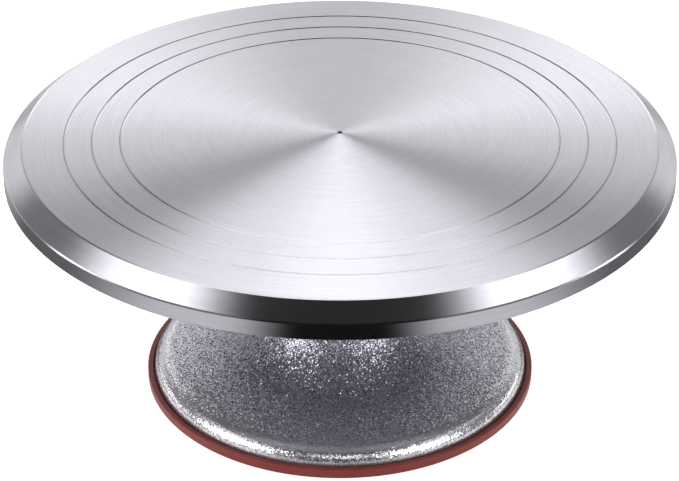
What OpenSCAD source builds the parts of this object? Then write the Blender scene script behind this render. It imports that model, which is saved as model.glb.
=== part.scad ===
// Cake turntable: a brushed plate that turns on two ball bearings in a cast pedestal.
// Origin at the centre of the underside of the foot ring, +Z up. Millimetres.

/* [Plate] */
// Outer diameter of the plate, the nominal 12 inch size
plate_d = 304.8; // [280:0.2:320]
// Width of the sloping edge, seen from above
bevel_w = 8.8; // [5:0.1:12]
// Height of the sloping edge
bevel_h = 6.7; // [4:0.1:7]
// Height of the upright band below the sloping edge
band_h = 7.5; // [6:0.1:8]
// Thickness of the plate inside its rim
web_t = 4.5; // [4:0.1:5]
// Distance from the flat's edge to the outermost guide groove
groove_inset = 18.8; // [12:0.1:24]
// Distance between neighbouring guide grooves
groove_pitch = 12.7; // [8:0.1:16]
// Number of guide grooves
groove_count = 3; // [1:1:5]
// Width of a guide groove at the surface
groove_w = 1; // [0.5:0.1:1.5]

/* [Pedestal] */
// Height of the whole turntable
total_h = 126.5; // [120:0.5:140]
// Outer diameter of the cast foot
foot_d = 177; // [165:1:200]
// Diameter of the neck
neck_d = 57; // [54:0.5:62]
// Radius of the sweep from neck to foot
sweep_r = 37; // [32:0.5:39]
// Slope of the foot's upper surface, in degrees
foot_slope = 11; // [8:0.5:13]
// Radius of the rounded rim of the foot
rim_r = 7; // [6:0.5:8]
// Wall thickness of the casting
wall_t = 4.5; // [4:0.1:5.5]
// Number of ribs under the foot
rib_count = 6; // [3:1:9]

/* [Foot ring] */
// Outer diameter of the ring, as a share of the foot's diameter
ring_ratio = 1.0375; // [1.03:0.0005:1.045]
// Height of the ring
ring_h = 4.5; // [4:0.1:5]
// Radial thickness of the ring's outer lip
ring_lip = 2.5; // [2:0.1:2.6]
// Thickness of the ring under the foot
ring_pad = 2; // [1.5:0.1:2.5]

/* [Spindle] */
// Diameter of the flange under the plate
flange_d = 48; // [46:0.5:50]
// Thickness of the flange
flange_t = 4; // [3.5:0.1:4.5]
// Diameter of the threaded lower end
thread_d = 12; // [10:1:12]
// Number of screws that hold the flange to the plate
screw_count = 4; // [3:1:6]
// Diameter of the circle that the screws lie on
screw_pcd = 34; // [33:0.5:35]

/* [Bearings] */
// Distance between the two bearings, centre to centre
bearing_span = 46.5; // [40:0.5:48]
// Number of balls in each bearing
ball_count = 8; // [7:1:8]

/* [Hidden] */
$fn = 96;
// Clearance of every seat, and overlap of every cut
slip = 0.02;
cut = 1;
skim = 0.01;
edge = 0.5;

// Plate
plate_r = plate_d / 2;
flat_r = plate_r - bevel_w;
rim_z = total_h - bevel_h - band_h;
web_z = total_h - web_t;
edge_break = 0.4;
rim_in_low = plate_r - 7;
rim_in_high = plate_r - 10;
web_fillet = 3;
hub_r = 28;
hub_h = 4.3;
hub_chamfer = 1;
hub_z = web_z - hub_h;
groove_depth = 0.2;
dimple_r = 1.3;
dimple_depth = 0.6;

// Spindle flange and its screws
spigot_r = 8;
spigot_h = 2;
spigot_gap = 0.3;
flange_z = hub_z - flange_t;
flange_gap = 1.2;
shoulder_r = 10;
screw_r = 2.5;
screw_len = 10;
screw_play = 0.25;
screw_gap = 0.7;
head_r = 5;
head_h = head_r - screw_r;
socket_af = 3;
socket_depth = 1.8;

// Deep groove bearing, 15 x 35 x 11
bore_r = 7.5;
race_r = 17.5;
bearing_w = 11;
pitch_r = 12.5;
ball_r = 5.953 / 2;
track_r = 3.1;
inner_land_r = 10.95;
outer_land_r = 14;
ring_chamfer = 0.6;
seat_r = 15;
seat_z = 4.02;
shield_t = 0.4;
shield_dish = 0.5;
shield_bend = 0.3;
shield_gap = 0.35;
pocket_r = ball_r + 0.1;
cage_in = 11.4;
cage_out = 13.6;
cage_low = -3.6;
cage_high = 1.6;
notch_r = 1.1;

// Heights along the bearing axis
neck_top = flange_z - flange_gap;
bearing_sink = 0.5;
upper_z = neck_top - bearing_sink - bearing_w;
lower_z = upper_z - bearing_span;
shoulder_z = upper_z + bearing_w;
housing_skirt = 4;
housing_z = lower_z - housing_skirt;
preload_h = 1.5;
spacer_r = 10.35;

// Retaining ring and its groove in the housing
clip_t = 1.5;
clip_r = 18.45;
clip_in_r = 15.6;
clip_shift = 0.7;
clip_play = 0.3;
clip_gap = 0.1;
clip_z = lower_z - clip_play - clip_t;
eye_r = 2.4;
eye_hole_r = 1.1;

// Nut and washer
washer_r = 12;
washer_t = 2.5;
washer_play = 0.5;
washer_chamfer = 0.3;
washer_z = lower_z - washer_t;
nut_af = 18;
nut_h = 10;
nut_face_r = nut_af / 2 - 0.2;
nut_corner_r = nut_af / 2 + 1.6;
nut_chamfer = 1.1;
collar_r = 8.4;
collar_h = 2.4;
collar_taper = 0.6;
collar_lip = 0.3;
insert_r = 7.4;
insert_h = collar_h - 0.2;
nut_z = washer_z - nut_h;
insert_z = nut_z - collar_h + collar_lip;
thread_r = thread_d / 2;
thread_tail = 3;
thread_end = nut_z - collar_h - thread_tail;
thread_top = lower_z + 0.3;

// Pedestal outline
foot_r = foot_d / 2;
neck_r = neck_d / 2;
neck_chamfer = 1;
rim_zc = ring_h + 0.1;
rim_wall = 6.5;
slope_r = foot_r - rim_r + rim_r * sin(foot_slope);
slope_z = rim_zc + rim_r * cos(foot_slope);
sweep_x = neck_r + sweep_r;
sweep_end_r = sweep_x - sweep_r * sin(foot_slope);
sweep_end_z = slope_z + (slope_r - sweep_end_r) * tan(foot_slope);
sweep_z = sweep_end_z + sweep_r * cos(foot_slope);
collar_out = neck_r + 3;
collar_drop = 3;
flare_r = 30;
flare_angle = acos(1 - (collar_out - neck_r) / flare_r);
flare_z = neck_top - collar_drop - flare_r * sin(flare_angle);
relief_r = 14.6;
rib_t = 4;
rib_in = 21;
rib_depth = 8;
rib_z = ring_h + edge;

// Foot ring
ring_r = foot_r * ring_ratio;
ring_shelf = 3.5;
ring_in = foot_r - rim_wall - ring_shelf;
ring_edge = 0.4;
lip_edge = 0.3;
inner_lip = 2.8;
tread_count = 2;
tread_inset = 3.5;
tread_pitch = 3;
tread_w = 1;
tread_depth = 0.5;

// Repeats its children evenly round the axis.
module around(count, start = 0) {
    for (i = [0 : count - 1])
        rotate([0, 0, start + i * 360 / count]) children();
}

// Tube between two radii, standing on z.
module tube(inner, outer, z, height) {
    translate([0, 0, z])
        difference() {
            cylinder(r = outer, h = height);
            translate([0, 0, -cut]) cylinder(r = inner, h = height + 2 * cut);
        }
}

// Half section of a ring with broken corners.
module broken_section(inner, outer, z, height, chamfer) {
    polygon([
        [inner + chamfer, z], [outer - chamfer, z], [outer, z + chamfer],
        [outer, z + height - chamfer], [outer - chamfer, z + height],
        [inner + chamfer, z + height], [inner, z + height - chamfer], [inner, z + chamfer]
    ]);
}

// ---- Plate ----

module plate_section() {
    difference() {
        polygon([
            [0, hub_z], [hub_r - hub_chamfer, hub_z], [hub_r, hub_z + hub_chamfer],
            [hub_r, web_z - hub_chamfer], [hub_r + hub_chamfer, web_z],
            [rim_in_high - web_fillet, web_z], [rim_in_high, web_z - web_fillet],
            [rim_in_low, rim_z], [plate_r - edge_break, rim_z], [plate_r, rim_z + edge_break],
            [plate_r, total_h - bevel_h - edge_break],
            [plate_r - edge_break, total_h - bevel_h + edge_break * bevel_h / bevel_w],
            [flat_r + edge_break, total_h - edge_break * bevel_h / bevel_w],
            [flat_r - edge_break, total_h], [0, total_h]
        ]);
        for (i = [0 : groove_count - 1])
            translate([flat_r - groove_inset - i * groove_pitch, total_h])
                polygon([[-groove_w / 2, skim], [0, -groove_depth], [groove_w / 2, skim]]);
        polygon([[-cut, total_h + cut], [0, total_h - dimple_depth], [dimple_r, total_h + skim]]);
    }
}

module plate() {
    color("gainsboro")
        difference() {
            rotate_extrude() plate_section();
            translate([0, 0, hub_z - cut]) cylinder(r = spigot_r + slip, h = spigot_h + spigot_gap + cut);
            around(screw_count)
                translate([screw_pcd / 2, 0, hub_z - cut])
                    cylinder(r = screw_r + slip, h = screw_len - flange_t + screw_gap + cut);
        }
}

// ---- Spindle and its screws ----

module spindle_section() {
    polygon([
        [0, thread_end], [thread_r - 2 * edge, thread_end], [thread_r, thread_end + 2 * edge],
        [thread_r, thread_top], [bore_r - edge, thread_top], [bore_r, thread_top + edge],
        [bore_r, shoulder_z], [shoulder_r, shoulder_z], [shoulder_r, flange_z],
        [flange_d / 2 - edge, flange_z], [flange_d / 2, flange_z + edge],
        [flange_d / 2, hub_z - edge], [flange_d / 2 - edge, hub_z],
        [spigot_r, hub_z], [spigot_r, hub_z + spigot_h - edge], [spigot_r - edge, hub_z + spigot_h],
        [0, hub_z + spigot_h]
    ]);
}

module spindle() {
    color("lightslategray")
        difference() {
            rotate_extrude() spindle_section();
            around(screw_count)
                translate([screw_pcd / 2, 0, flange_z]) {
                    translate([0, 0, -cut]) cylinder(r = screw_r + screw_play, h = flange_t + 2 * cut);
                    translate([0, 0, -slip])
                        cylinder(r1 = head_r + 2 * slip, r2 = screw_r + slip, h = head_h + slip);
                }
        }
}

// Countersunk socket screw, head down, its head flush with z = 0.
module hub_screw() {
    difference() {
        union() {
            cylinder(r1 = head_r, r2 = screw_r, h = head_h);
            cylinder(r = screw_r, h = screw_len - edge);
            translate([0, 0, screw_len - edge]) cylinder(r1 = screw_r, r2 = screw_r - edge, h = edge);
        }
        translate([0, 0, -cut]) cylinder(d = socket_af / cos(30), h = socket_depth + cut, $fn = 6);
    }
}

module hub_screws() {
    color("dimgray")
        around(screw_count)
            translate([screw_pcd / 2, 0, flange_z]) hub_screw();
}

// ---- Bearings, each drawn round the middle of its width ----

module inner_ring() {
    color("silver")
        rotate_extrude()
            difference() {
                broken_section(bore_r + slip, inner_land_r, -bearing_w / 2, bearing_w, ring_chamfer);
                translate([pitch_r - ball_r - slip + track_r, 0]) circle(r = track_r);
            }
}

module outer_ring() {
    color("silver")
        rotate_extrude()
            difference() {
                broken_section(outer_land_r, race_r, -bearing_w / 2, bearing_w, ring_chamfer);
                translate([pitch_r + ball_r + slip - track_r, 0]) circle(r = track_r);
                for (flip = [0, 1])
                    mirror([0, flip])
                        translate([outer_land_r - cut, seat_z])
                            square([seat_r - outer_land_r + cut, bearing_w]);
            }
}

module balls() {
    color("whitesmoke")
        around(ball_count) translate([pitch_r, 0, 0]) sphere(r = ball_r);
}

// One-piece snap cage: a ring with a pocket for each ball, open upwards.
module cage() {
    color("wheat")
        difference() {
            tube(cage_in, cage_out, cage_low, cage_high - cage_low);
            around(ball_count) translate([pitch_r, 0, 0]) sphere(r = pocket_r);
            around(ball_count, 180 / ball_count)
                translate([pitch_r, 0, cage_high]) rotate([0, 90, 0])
                    cylinder(r = notch_r, h = 2 * (cage_out - cage_in), center = true);
        }
}

// Dished shield, seated in the outer ring and clear of the inner one.
module shield_section() {
    z = seat_z + slip;
    top = z + shield_dish;
    polygon([
        [inner_land_r + shield_gap, top], [seat_r - edge - shield_bend, top],
        [seat_r - edge, z], [seat_r - slip, z],
        [seat_r - slip, z + shield_t], [seat_r - shield_bend, z + shield_t],
        [seat_r - 2 * shield_bend, top + shield_t], [inner_land_r + shield_gap, top + shield_t]
    ]);
}

module shields() {
    color("slategray")
        for (flip = [0, 1])
            rotate_extrude() mirror([0, flip]) shield_section();
}

module at_upper() {
    translate([0, 0, upper_z + bearing_w / 2]) children();
}

module at_lower() {
    translate([0, 0, lower_z + bearing_w / 2]) children();
}

module spacer_tube() {
    color("lightsteelblue")
        rotate_extrude()
            broken_section(bore_r + slip, spacer_r, lower_z + bearing_w,
                           bearing_span - bearing_w, edge_break);
}

// Wave washer: a thin ring whose height follows three waves round the axis.
module preload_washer() {
    inner = 14.9;
    outer = 17.2;
    thickness = 0.4;
    waves = 3;
    steps = 72;
    middle = lower_z + bearing_w + preload_h / 2;
    swing = (preload_h - thickness) / 2;
    function wave_z(i) = middle + swing * cos(waves * i * 360 / steps);
    function at(radius, i, dz) =
        [radius * cos(i * 360 / steps), radius * sin(i * 360 / steps), wave_z(i) + dz];
    points = [
        for (i = [0 : steps - 1])
            each [
                at(inner, i, -thickness / 2), at(outer, i, -thickness / 2),
                at(outer, i, thickness / 2), at(inner, i, thickness / 2)
            ]
    ];
    faces = [
        for (i = [0 : steps - 1])
            for (k = [0 : 3])
                each [
                    [4 * i + k, 4 * i + (k + 1) % 4, 4 * ((i + 1) % steps) + (k + 1) % 4],
                    [4 * i + k, 4 * ((i + 1) % steps) + (k + 1) % 4, 4 * ((i + 1) % steps) + k]
                ]
    ];
    color("steelblue") polyhedron(points, faces);
}

// Internal circlip: tapered ring, open at the back, with two plier eyes.
module retaining_ring() {
    gap_angle = 34;
    eye_angle = gap_angle / 2 + 8;
    reach = 2 * clip_r;
    color("darkslategray")
        difference() {
            union() {
                difference() {
                    tube(clip_in_r - clip_shift, clip_r, clip_z, clip_t);
                    translate([0, clip_shift, clip_z - cut])
                        cylinder(r = clip_in_r, h = clip_t + 2 * cut);
                }
                for (side = [-1, 1])
                    rotate([0, 0, 90 + side * eye_angle])
                        translate([clip_in_r, 0, clip_z]) cylinder(r = eye_r, h = clip_t);
            }
            translate([0, 0, clip_z - cut])
                linear_extrude(clip_t + 2 * cut)
                    polygon([
                        [0, 0],
                        [-reach * tan(gap_angle / 2), reach],
                        [reach * tan(gap_angle / 2), reach]
                    ]);
            for (side = [-1, 1])
                rotate([0, 0, 90 + side * eye_angle])
                    translate([clip_in_r, 0, clip_z - cut])
                        cylinder(r = eye_hole_r, h = clip_t + 2 * cut);
        }
}

// ---- Nut and washer ----

module nut_washer() {
    color("silver")
        rotate_extrude()
            broken_section(thread_r + washer_play, washer_r, washer_z, washer_t, washer_chamfer);
}

module lock_nut() {
    color("darkgray")
        difference() {
            union() {
                intersection() {
                    translate([0, 0, nut_z]) cylinder(d = nut_af / cos(30), h = nut_h, $fn = 6);
                    rotate_extrude()
                        polygon([
                            [0, nut_z], [nut_face_r, nut_z], [nut_corner_r, nut_z + nut_chamfer],
                            [nut_corner_r, nut_z + nut_h - nut_chamfer],
                            [nut_face_r, nut_z + nut_h], [0, nut_z + nut_h]
                        ]);
                }
                translate([0, 0, nut_z - collar_h])
                    cylinder(r1 = collar_r - collar_taper, r2 = collar_r, h = collar_h + skim);
            }
            translate([0, 0, nut_z - collar_h - cut])
                cylinder(r = thread_r + slip, h = nut_h + collar_h + 2 * cut);
            translate([0, 0, insert_z]) cylinder(r = insert_r, h = insert_h);
        }
}

module nut_insert() {
    color("royalblue")
        tube(thread_r + slip, insert_r - slip, insert_z + slip, insert_h - 2 * slip);
}

// ---- Pedestal ----

// Half section of the sweep between a neck radius and the foot, offset inwards by inset.
module sweep_section(inset, low, high) {
    end_r = slope_r - inset * sin(foot_slope);
    end_z = slope_z - inset * cos(foot_slope);
    turn_r = sweep_end_r - inset * sin(foot_slope);
    turn_z = sweep_end_z - inset * cos(foot_slope);
    polygon([[0, low], [end_r, low], [end_r, end_z], [turn_r, turn_z], [0, turn_z]]);
    difference() {
        polygon([
            [0, turn_z - cut], [turn_r, turn_z - cut], [turn_r, turn_z], [sweep_x, sweep_z], [0, high]
        ]);
        translate([sweep_x, sweep_z]) circle(r = sweep_r + inset);
    }
}

module pedestal_section() {
    sweep_section(0, ring_pad, sweep_z);
    intersection() {
        translate([foot_r - rim_r, rim_zc]) circle(r = rim_r);
        translate([0, ring_pad]) square([foot_r, 2 * rim_r]);
    }
    translate([0, ring_pad]) square([foot_r, rim_zc - ring_pad]);
    translate([0, sweep_z - cut]) square([neck_r, neck_top - neck_chamfer - sweep_z + cut]);
    difference() {
        translate([0, flare_z]) square([collar_out, neck_top - neck_chamfer - flare_z]);
        translate([neck_r + flare_r, flare_z]) circle(r = flare_r);
    }
    polygon([
        [0, neck_top - collar_drop], [collar_out, neck_top - collar_drop],
        [collar_out, neck_top - neck_chamfer], [collar_out - neck_chamfer, neck_top], [0, neck_top]
    ]);
}

// Half section of the hollow under the foot.
module hollow_section() {
    intersection() {
        union() {
            sweep_section(wall_t, -cut, housing_z);
            translate([0, -cut]) square([foot_r - rim_wall, slope_z - wall_t + cut]);
        }
        translate([0, -cut]) square([foot_r - rim_wall, housing_z + cut]);
    }
}

// Stepped bore of the bearing housing, with the circlip groove.
module housing_section() {
    upper_seat = upper_z;
    lower_seat = lower_z + bearing_w + preload_h;
    translate([0, upper_seat]) square([race_r + slip, neck_top - upper_seat + cut]);
    translate([0, lower_seat - cut]) square([relief_r, upper_seat - lower_seat + 2 * cut]);
    translate([0, housing_z - 2 * cut]) square([race_r + slip, lower_seat - housing_z + 2 * cut]);
    translate([0, clip_z - clip_gap]) square([clip_r + clip_gap, clip_t + 2 * clip_gap]);
}

// Rib that follows the casting's inner sweep, rib_depth below it.
module rib() {
    rotate([90, 0, 0])
        linear_extrude(rib_t, center = true)
            intersection() {
                translate([rib_in, rib_z]) square([foot_r - rib_in, housing_z + cut - rib_z]);
                union() {
                    translate([sweep_x, sweep_z]) circle(r = sweep_r + wall_t + rib_depth);
                    translate([sweep_x, 0]) square([foot_r, housing_z]);
                }
            }
}

module pedestal() {
    color("slategray")
        difference() {
            rotate_extrude() pedestal_section();
            difference() {
                rotate_extrude() hollow_section();
                around(rib_count, 30) rib();
            }
            rotate_extrude() housing_section();
        }
}

// ---- Foot ring ----

module foot_ring() {
    color("indianred")
        rotate_extrude()
            difference() {
                polygon([
                    [ring_in + lip_edge, 0], [ring_r - ring_edge, 0], [ring_r, ring_edge],
                    [ring_r, ring_h - ring_edge], [ring_r - ring_edge, ring_h],
                    [ring_r - ring_lip + lip_edge, ring_h], [ring_r - ring_lip, ring_h - lip_edge],
                    [ring_r - ring_lip, ring_pad], [ring_in + inner_lip, ring_pad],
                    [ring_in + inner_lip, ring_h - edge], [ring_in + inner_lip - edge, ring_h],
                    [ring_in + lip_edge, ring_h], [ring_in, ring_h - lip_edge], [ring_in, lip_edge]
                ]);
                for (i = [0 : tread_count - 1])
                    translate([ring_in + tread_inset + i * tread_pitch, 0])
                        polygon([[-tread_w / 2, -skim], [0, tread_depth], [tread_w / 2, -skim]]);
            }
}

plate();
spindle();
hub_screws();
at_upper() inner_ring();  // upper_inner_ring
at_upper() outer_ring();  // upper_outer_ring
at_upper() balls();  // upper_balls
at_upper() cage();  // upper_cage
at_upper() shields();  // upper_shields
at_lower() inner_ring();  // lower_inner_ring
at_lower() outer_ring();  // lower_outer_ring
at_lower() balls();  // lower_balls
at_lower() cage();  // lower_cage
at_lower() shields();  // lower_shields
spacer_tube();
preload_washer();
retaining_ring();
nut_washer();
lock_nut();
nut_insert();
pedestal();
foot_ring();
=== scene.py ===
import math

import bpy
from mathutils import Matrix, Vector

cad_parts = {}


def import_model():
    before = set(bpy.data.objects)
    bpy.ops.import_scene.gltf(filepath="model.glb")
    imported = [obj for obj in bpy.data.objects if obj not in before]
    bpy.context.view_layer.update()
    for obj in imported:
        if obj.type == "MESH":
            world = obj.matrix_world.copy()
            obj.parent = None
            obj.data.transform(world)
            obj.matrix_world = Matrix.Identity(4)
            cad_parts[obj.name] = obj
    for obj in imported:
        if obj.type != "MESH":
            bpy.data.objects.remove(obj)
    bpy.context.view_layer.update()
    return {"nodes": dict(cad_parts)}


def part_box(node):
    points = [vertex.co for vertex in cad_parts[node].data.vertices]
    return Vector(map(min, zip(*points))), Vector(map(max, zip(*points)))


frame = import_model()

MM = 0.001

# Places worked out from the frame
PLATE_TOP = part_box("plate")[1].z
FOOT_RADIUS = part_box("pedestal")[1].x

WHITE = (1.0, 1.0, 1.0)


# ---------------------------------------------------------------- node graphs

class Graph:
    """A node tree written as calls. A socket or a plain value can be an input."""

    def __init__(self, tree):
        self.tree = tree
        self.tree.nodes.clear()

    def add(self, kind, out=0, settings=None, **inputs):
        """Adds a node and gives one output, by number or name.
        Input i3 is input number 3, and Base_Color is the one called Base Color."""
        node = self.tree.nodes.new(kind)
        for key, value in (settings or {}).items():
            setattr(node, key, value)
        for key, value in inputs.items():
            name = key.replace("_", " ")
            socket = node.inputs[int(key[1:])] if key[1:].isdigit() else node.inputs[name]
            self.feed(socket, value)
        return node.outputs[out] if node.outputs else node

    def feed(self, socket, value):
        if isinstance(value, bpy.types.NodeSocket):
            self.tree.links.new(value, socket)
        elif socket.type == "RGBA" and len(value) == 3:
            socket.default_value = (*value, 1.0)
        else:
            socket.default_value = value

    def geometry(self, out):
        return self.add("ShaderNodeNewGeometry", out)

    def ray(self, kind):
        """1 for a ray of this kind, Camera, Diffuse or Glossy, and 0 for any other."""
        return self.add("ShaderNodeLightPath", "Is " + kind + " Ray")

    def math(self, operation, a, b=0.0):
        return self.add("ShaderNodeMath", settings={"operation": operation}, i0=a, i1=b)

    def plus(self, a, b):
        return self.math("ADD", a, b)

    def minus(self, a, b):
        return self.math("SUBTRACT", a, b)

    def times(self, a, b):
        return self.math("MULTIPLY", a, b)

    def vector(self, operation, a, b=(0, 0, 0), out="Vector"):
        return self.add("ShaderNodeVectorMath", out, {"operation": operation}, i0=a, i1=b)

    def length(self, vector):
        return self.vector("LENGTH", vector, out="Value")

    def dot(self, a, b):
        return self.vector("DOT_PRODUCT", a, b, "Value")

    def scale(self, vector, factor):
        return self.add("ShaderNodeVectorMath", 0, {"operation": "SCALE"}, i0=vector, i3=factor)

    def lean(self, normal, sideways):
        """The normal, tipped over by a sideways vector."""
        return self.vector("NORMALIZE", self.vector("ADD", normal, sideways))

    def split(self, vector):
        node = self.tree.nodes.new("ShaderNodeSeparateXYZ")
        self.feed(node.inputs[0], vector)
        return node.outputs[0], node.outputs[1], node.outputs[2]

    def join(self, x, y, z):
        return self.add("ShaderNodeCombineXYZ", i0=x, i1=y, i2=z)

    def step(self, value, low, high, to_low=0.0, to_high=1.0):
        """Smooth step: to_low where the value is low, to_high where it is high."""
        return self.add("ShaderNodeMapRange", settings={"interpolation_type": "SMOOTHSTEP"},
                        i0=value, i1=low, i2=high, i3=to_low, i4=to_high)

    def mix(self, factor, a, b):
        return self.add("ShaderNodeMix", 2, {"data_type": "RGBA"}, i0=factor, i6=a, i7=b)

    def mix_value(self, factor, a, b):
        return self.add("ShaderNodeMix", 0, {"data_type": "FLOAT"}, i0=factor, i2=a, i3=b)

    def mix_shader(self, factor, a, b):
        return self.add("ShaderNodeMixShader", i0=factor, i1=a, i2=b)

    def noise(self, vector, scale, detail=2.0, roughness=0.5):
        """Noise with about this many features to the metre."""
        return self.add("ShaderNodeTexNoise", 0, Vector=vector, Scale=scale, Detail=detail,
                        Roughness=roughness)

    def bump(self, height, distance, normal=None):
        """The surface's normal, or the one given, bent by a height of 0 to 1 times a distance."""
        inputs = {"Height": height, "Distance": distance, "Strength": 1.0}
        if normal is not None:
            inputs["Normal"] = normal
        return self.add("ShaderNodeBump", **inputs)


def new_material(name):
    material = bpy.data.materials.new(name)
    material.use_nodes = True
    return material, Graph(material.node_tree)


def finish_material(graph, **inputs):
    surface = graph.add("ShaderNodeBsdfPrincipled", **inputs)
    graph.add("ShaderNodeOutputMaterial", Surface=surface)


def object_point(graph):
    return graph.add("ShaderNodeTexCoord", "Object")


def radius_of(graph, point):
    x, y, _ = graph.split(point)
    return graph.length(graph.join(x, y, 0.0))


def turned_point(graph, point, along=3.0):
    """Coordinates for marks that run round the axis: fine in radius and height, long in angle.
    A larger value of along makes the marks shorter."""
    x, y, z = graph.split(point)
    radius = radius_of(graph, point)
    return graph.join(graph.plus(radius, z),
                      graph.times(graph.math("DIVIDE", x, radius), along * MM),
                      graph.times(graph.math("DIVIDE", y, radius), along * MM))


def paint(node, material):
    target = frame["nodes"][node]
    target.data.materials.clear()
    target.data.materials.append(material)


# ---------------------------------------------------------------- materials

def plate_material():
    """Turned aluminium: brushed flat, polished bevel and band, plain underside."""
    material, g = new_material("plate_brushed_aluminium")
    point = object_point(g)
    normal = g.geometry("Normal")
    world_x, world_y, _ = g.split(g.geometry("Position"))
    outward = g.vector("NORMALIZE", g.join(world_x, world_y, 0.0))

    # The plate's parts are told apart by how far they face up: the flat 1, a groove's walls 0.93,
    # the bevel 0.8, the band 0 and the underside -1
    _, _, level = g.split(g.geometry("True Normal"))
    flat = g.step(level, 0.97, 0.99)
    groove = g.times(g.step(level, 0.97, 0.95), g.step(level, 0.84, 0.88))
    below = g.step(level, -0.2, -0.6)
    facing_in = g.dot(normal, g.scale(outward, -1.0))
    outer_wall = g.times(g.step(facing_in, 0.15, 0.25), groove)

    # Each turned ridge leans outwards a little, so the flat mirrors a cone and not a plane.
    # The outer walls of the grooves are burnished steeper than they are cut.
    ridge_lean = math.tan(math.radians(10))
    wall_lean = 1.18
    sideways = g.minus(g.times(flat, ridge_lean), g.times(outer_wall, wall_lean))
    leaned = g.lean(normal, g.scale(outward, sideways))

    # Fine and wider turning marks, and faint streaks across them. The shrunk point makes radius
    # count for little, so the streaks run outwards.
    marks = turned_point(g, point)
    fine = g.noise(marks, 3200.0, 2.0, 0.6)
    lines = g.noise(marks, 950.0, 3.0, 0.7)
    streaks = g.noise(turned_point(g, g.scale(point, 0.02), 20.0), 900.0, 2.0, 0.6)
    height = g.plus(g.times(fine, 0.3), g.times(lines, 0.7))
    depth = g.mix_value(flat, 0.0015 * MM, 0.1 * MM)

    shade = g.plus(g.times(lines, 0.85), g.times(streaks, 0.15))
    tone = g.mix(g.step(shade, 0.3, 0.7), (0.845, 0.83, 0.9), (0.925, 0.91, 0.985))
    # Painted shade: the groove walls are darker, as if shaded inside the recess
    tone = g.mix(groove, tone, (0.68, 0.665, 0.72))
    # The underside is a duller, darker grey: partly its plainer finish, partly painted shade under the
    # plate
    tone = g.mix(below, tone, (0.5, 0.49, 0.53))
    roughness = g.mix_value(flat, 0.185, 0.3)
    roughness = g.mix_value(below, roughness, 0.38)
    roughness = g.mix_value(outer_wall, roughness, 0.08)
    round_axis = g.add("ShaderNodeTangent", settings={"direction_type": "RADIAL", "axis": "Z"})
    finish_material(g, Base_Color=tone, Metallic=1.0, Roughness=roughness,
                    Normal=g.bump(height, depth, leaned),
                    Anisotropic=g.mix_value(flat, 0.6, 0.83), Anisotropic_Rotation=0.25,
                    Tangent=round_axis)
    return material


def hammertone_material():
    """Hammertone paint over a casting: every fine fleck leans its own way, so some glint."""
    material, g = new_material("pedestal_hammertone")
    point = object_point(g)
    flecks_to_metre = 2050.0
    chance = g.add("ShaderNodeTexVoronoi", "Color", Vector=point, Scale=flecks_to_metre)
    shade, gloss, _ = g.split(g.add("ShaderNodeTexWhiteNoise", "Color", Vector=chance))

    # Painted light: the outer foot is painted paler where the plate shades it less, and its rolled rim
    # is smoother and painted bright as a highlight
    radius = radius_of(g, point)
    outer_foot_painted_light = g.step(radius, FOOT_RADIUS - 45.5 * MM, FOOT_RADIUS - 11.5 * MM)
    ragged = g.plus(radius, g.times(gloss, 3 * MM))
    smooth_rim_painted_highlight = g.step(ragged, FOOT_RADIUS - 9.5 * MM, FOOT_RADIUS - 2.5 * MM)

    # Some flecks lie nearly flat and some stand up and glint
    reach = g.times(g.mix_value(gloss, 0.1, 0.95), g.mix_value(smooth_rim_painted_highlight, 1.0, 0.4))
    sideways = g.scale(g.vector("SUBTRACT", chance, (0.5, 0.5, 0.5)), reach)
    leaned = g.lean(g.geometry("Normal"), sideways)
    dimples = g.noise(point, 700.0, 2.0, 0.6)

    tone = g.mix(shade, (0.19, 0.185, 0.225), (0.565, 0.555, 0.635))
    # Painted light: paler paint towards the outer foot
    tone = g.mix(outer_foot_painted_light, tone, g.mix(shade, (0.315, 0.31, 0.365), (0.93, 0.92, 1.0)))
    # Painted highlight: the rolled rim is painted much paler
    tone = g.mix(smooth_rim_painted_highlight, tone, g.mix(shade, (0.72, 0.71, 0.76), (0.97, 0.95, 1.0)))
    roughness = g.mix_value(smooth_rim_painted_highlight, g.mix_value(gloss, 0.17, 0.28), 0.15)
    finish_material(g, Base_Color=tone, Metallic=0.9, Roughness=roughness,
                    Normal=g.bump(dimples, 0.08 * MM, leaned))
    return material


def silicone_material():
    """Red-brown silicone with a fine grain."""
    material, g = new_material("foot_silicone")
    point = object_point(g)
    grain = g.noise(point, 1500.0)
    cloud = g.noise(point, 60.0)
    tone = g.mix(cloud, (0.185, 0.024, 0.019), (0.235, 0.035, 0.028))
    finish_material(g, Base_Color=tone, Roughness=g.mix_value(grain, 0.36, 0.52),
                    Normal=g.bump(grain, 0.05 * MM))
    return material


def steel_material(name, dark, light, roughness, turned=True):
    """Steel with marks round the axis, or with an even grain where it isn't turned."""
    material, g = new_material(name)
    point = object_point(g)
    marks = turned_point(g, point) if turned else point
    lines = g.noise(marks, 2500.0, 2.0, 0.6)
    cloud = g.noise(point, 120.0)
    finish_material(g, Base_Color=g.mix(cloud, dark, light), Metallic=1.0,
                    Roughness=g.mix_value(lines, roughness, roughness + 0.12),
                    Normal=g.bump(lines, 0.004 * MM))
    return material


def nylon_material(name, dark, light):
    """Moulded nylon, a little cloudy."""
    material, g = new_material(name)
    point = object_point(g)
    cloud = g.noise(point, 300.0)
    grain = g.noise(point, 3000.0)
    finish_material(g, Base_Color=g.mix(cloud, dark, light), Roughness=0.5,
                    Normal=g.bump(grain, 0.02 * MM))
    return material


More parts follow.
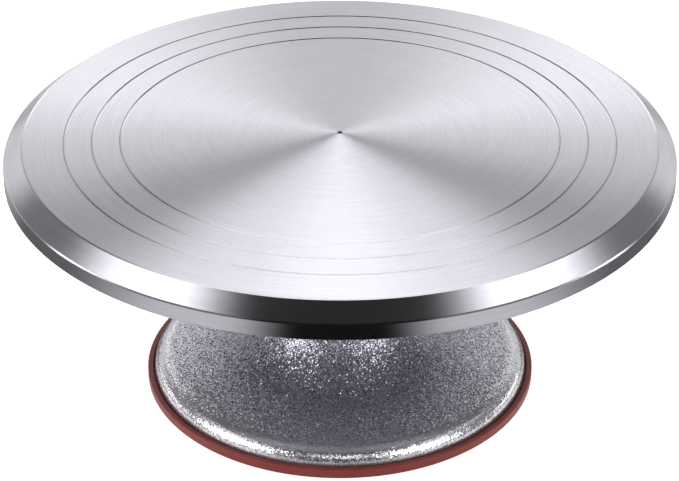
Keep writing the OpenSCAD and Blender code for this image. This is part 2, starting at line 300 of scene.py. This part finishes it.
def paint_all():
    turned = steel_material("turned_steel", (0.42, 0.43, 0.45), (0.55, 0.56, 0.58), 0.28)
    bearing = steel_material("bearing_steel", (0.6, 0.61, 0.63), (0.7, 0.71, 0.73), 0.12)
    ball = steel_material("ball_steel", (0.72, 0.73, 0.75), (0.78, 0.79, 0.8), 0.06, turned=False)
    shield = steel_material("shield_steel", (0.45, 0.46, 0.48), (0.55, 0.56, 0.58), 0.3)
    spring = steel_material("spring_steel", (0.09, 0.095, 0.11), (0.16, 0.165, 0.18), 0.35, turned=False)
    zinc = steel_material("zinc_steel", (0.5, 0.51, 0.52), (0.66, 0.67, 0.66), 0.34, turned=False)
    black = steel_material("black_steel", (0.02, 0.02, 0.022), (0.045, 0.045, 0.05), 0.42, turned=False)
    cage = nylon_material("cage_nylon", (0.6, 0.48, 0.28), (0.7, 0.58, 0.36))
    insert = nylon_material("insert_nylon", (0.02, 0.07, 0.3), (0.03, 0.1, 0.38))
    paint("plate", plate_material())
    paint("pedestal", hammertone_material())
    paint("foot_ring", silicone_material())
    paint("spindle", turned)
    paint("spacer_tube", turned)
    paint("hub_screws", black)
    paint("preload_washer", spring)
    paint("retaining_ring", spring)
    paint("nut_washer", zinc)
    paint("lock_nut", zinc)
    paint("nut_insert", insert)
    for place in ("upper", "lower"):
        paint(place + "_inner_ring", bearing)
        paint(place + "_outer_ring", bearing)
        paint(place + "_balls", ball)
        paint(place + "_cage", cage)
        paint(place + "_shields", shield)


# ---------------------------------------------------------------- studio

def direction(azimuth, elevation):
    """Unit vector from two angles in degrees: azimuth 0 is the back (+Y), 90 is +X."""
    az, el = math.radians(azimuth), math.radians(elevation)
    return Vector((math.sin(az) * math.cos(el), math.cos(az) * math.cos(el), math.sin(el)))


def softbox(name, place, target, size, brightness, fade):
    """Area light of this width and height, whose glow fades over these shares of its sides."""
    # Watts for each square metre and each unit of brightness
    watts = 4
    data = bpy.data.lights.new(name, "AREA")
    data.shape = "RECTANGLE"
    data.size, data.size_y = size
    data.energy = brightness * size[0] * size[1] * watts
    data.use_nodes = True
    g = Graph(data.node_tree)
    u, v, _ = g.split(g.geometry("Parametric"))
    edge_u = g.math("MINIMUM", u, g.minus(1.0, u))
    edge_v = g.math("MINIMUM", v, g.minus(1.0, v))
    glow = g.times(g.step(edge_u, 0.0, fade[0]), g.step(edge_v, 0.0, fade[1]))
    emission = g.add("ShaderNodeEmission", Strength=glow)
    g.add("ShaderNodeOutputLight", Surface=emission)
    lamp = bpy.data.objects.new(name, data)
    bpy.context.scene.collection.objects.link(lamp)
    lamp.location = place
    lamp.rotation_euler = (Vector(place) - Vector(target)).to_track_quat("Z", "Y").to_euler()
    lamp.visible_camera = False
    return lamp


def light_only(lamp, nodes):
    """Flag the lamp so that it lights only these nodes."""
    lit = bpy.data.collections.new(lamp.name + "_lit")
    for node in nodes:
        lit.objects.link(frame["nodes"][node])
    lamp.light_linking.receiver_collection = lit


def softboxes():
    """Boxes overhead and all round. Some light only the plate, some only the pedestal and ring."""
    middle = Vector((0, 0, PLATE_TOP))
    above = ["plate"]
    below = ["pedestal", "foot_ring"]

    def around(name, azimuth, elevation, away, size, brightness, fade=0.35, lights=None):
        """A box that faces the middle of the plate from this direction, this far away."""
        place = middle + direction(azimuth, elevation) * away
        lamp = softbox(name, place, middle, size, brightness, (fade, fade))
        if lights:
            light_only(lamp, lights)

    overhead = middle + Vector((0, 0.43, 1.0))
    backdrop = Vector((0, 1.3, 0.52))
    softbox("overhead_box", overhead, overhead - Vector((0, 0, 1)), (1.4, 0.85), 1.13, (0.3, 0.35))
    softbox("backdrop_box", backdrop, backdrop - Vector((0, 1, 0)), (3.8, 1.85), 0.385, (0.17, 0.42))
    around("back_strip", 0, 57, 1.1, (0.34, 0.66), 0.35)
    around("top_box", 0, 78, 1.0, (0.5, 0.3), 0.6)
    for side, name, sweep in ((-1, "left_", 0.9), (1, "right_", 0.55)):
        around(name + "box", side * 98, 50, 1.1, (1.05, 0.75), 1.1, fade=0.42)
        around(name + "back_box", side * 20, 8, 1.2, (0.8, 0.42), 0.95, fade=0.4, lights=above)
        around(name + "rim_box", side * 98, 6, 1.1, (0.8, 0.22), 1.9, lights=above)
        around(name + "sweep_box", side * 22, 32, 1.2, (0.6, 0.4), sweep, lights=below)
        around(name + "strip_box", side * 68, 1, 1.1, (0.95, 0.24), 1.6, lights=below)
    around("front_low_box", 180, 25, 1.2, (1.0, 0.55), 1.05, lights=below)
    around("left_low_box", -118, 16, 1.1, (1.15, 0.85), 3.1, lights=below)
    around("right_low_box", 132, 16, 1.1, (1.0, 0.85), 2.6, lights=below)


def world():
    """White to the camera, grey to matt surfaces, and to mirrors a dim room with a dark front."""
    scene_world = bpy.data.worlds.new("studio")
    scene_world.use_nodes = True
    bpy.context.scene.world = scene_world
    g = Graph(scene_world.node_tree)
    heading = g.add("ShaderNodeTexCoord", "Generated")
    x, y, _ = g.split(heading)
    front = g.times(g.step(y, 0.0, -0.2), g.step(g.math("ABSOLUTE", x), 0.55, 0.4))
    room = g.mix_value(front, 0.16, 0.005)
    # A paler patch high up behind
    near_patch = g.dot(heading, tuple(direction(0, 42)))
    room = g.plus(room, g.step(near_patch, 0.9, 0.985, 0.0, 0.1))
    strength = g.mix_value(g.ray("Diffuse"), room, 0.5)
    strength = g.mix_value(g.ray("Camera"), strength, 1.0)
    background = g.add("ShaderNodeBackground", Color=WHITE, Strength=strength)
    g.add("ShaderNodeOutputWorld", Surface=background)


def mirrored_floor(g):
    """What a mirror sees of the floor, all painted light and shade: pale pools of light at the front
    corners, and pale behind.
    """
    x, y, _ = g.split(g.geometry("Position"))
    across = g.math("ABSOLUTE", x)
    from_axis = g.length(g.join(x, y, 0.0))

    # One painted pool of light on each side, with a painted dark gap between them
    pool_x, pool_y = 0.19, -0.28
    from_pool = g.length(g.join(g.minus(across, pool_x), g.minus(y, pool_y), 0.0))
    pools = g.step(from_pool, 0.27, 0.05, 0.12, 0.62)
    beside_gap = g.math("MAXIMUM", g.step(across, 0.07, 0.17), g.step(y, -0.16, -0.08))
    behind = g.times(g.step(y, 0.0, 0.3, 0.0, 0.75), g.step(y, 0.75, 0.35, 0.5, 1.0))
    open_floor = g.math("MAXIMUM", g.times(pools, beside_gap), behind)

    # The stand shades the floor round it, but not close to the front half of the foot
    open_floor = g.times(open_floor, g.step(from_axis, 0.14, 0.28, 0.1, 1.0))
    near_foot = g.times(g.step(from_axis, 0.2, 0.12), g.step(y, 0.06, -0.02))
    near_foot = g.times(near_foot, g.step(across, 0.02, 0.08, 0.45, 1.0))
    return g.times(g.math("MAXIMUM", open_floor, near_foot), 0.9)


def floor_material():
    """Pale. Its glow depends on the kind of ray, and a camera below sees through it."""
    material, g = new_material("pale_floor")
    seen = g.mix_value(g.ray("Glossy"), 0.45, mirrored_floor(g))
    seen = g.mix_value(g.ray("Camera"), seen, 0.85)
    glow = g.add("ShaderNodeEmission", Color=WHITE, Strength=seen)
    matt = g.add("ShaderNodeBsdfDiffuse", Color=(0.85, 0.85, 0.85))
    lit = g.add("ShaderNodeAddShader", i0=matt, i1=glow)
    surface = g.mix_shader(g.ray("Glossy"), lit, glow)
    from_below = g.times(g.geometry("Backfacing"), g.ray("Camera"))
    surface = g.mix_shader(from_below, surface, g.add("ShaderNodeBsdfTransparent"))
    g.add("ShaderNodeOutputMaterial", Surface=surface)
    return material


def floor():
    mesh = bpy.data.meshes.new("floor")
    half = 6.0
    corners = [(-half, -half, 0), (half, -half, 0), (half, half, 0), (-half, half, 0)]
    mesh.from_pydata(corners, [], [(0, 1, 2, 3)])
    plane = bpy.data.objects.new("floor", mesh)
    bpy.context.scene.collection.objects.link(plane)
    # Just clear of the underside of the foot ring
    plane.location.z = -0.2 * MM
    plane.data.materials.append(floor_material())


def camera():
    """Fitted to the photo's outlines: in front and above, aimed at the axis below the plate."""
    elevation, distance = 30.36, 1.10
    aim = Vector((-0.2 * MM, 0, PLATE_TOP - 56.8 * MM))
    data = bpy.data.cameras.new("camera")
    data.lens = 125.2
    data.sensor_width = 36
    data.clip_start = 10 * MM
    viewer = bpy.data.objects.new("camera", data)
    bpy.context.scene.collection.objects.link(viewer)
    viewer.location = aim + direction(180, elevation) * distance
    viewer.rotation_euler = (viewer.location - aim).to_track_quat("Z", "Y").to_euler()
    bpy.context.scene.camera = viewer


paint_all()
softboxes()
world()
floor()
camera()
bpy.context.scene.view_settings.view_transform = "Standard"
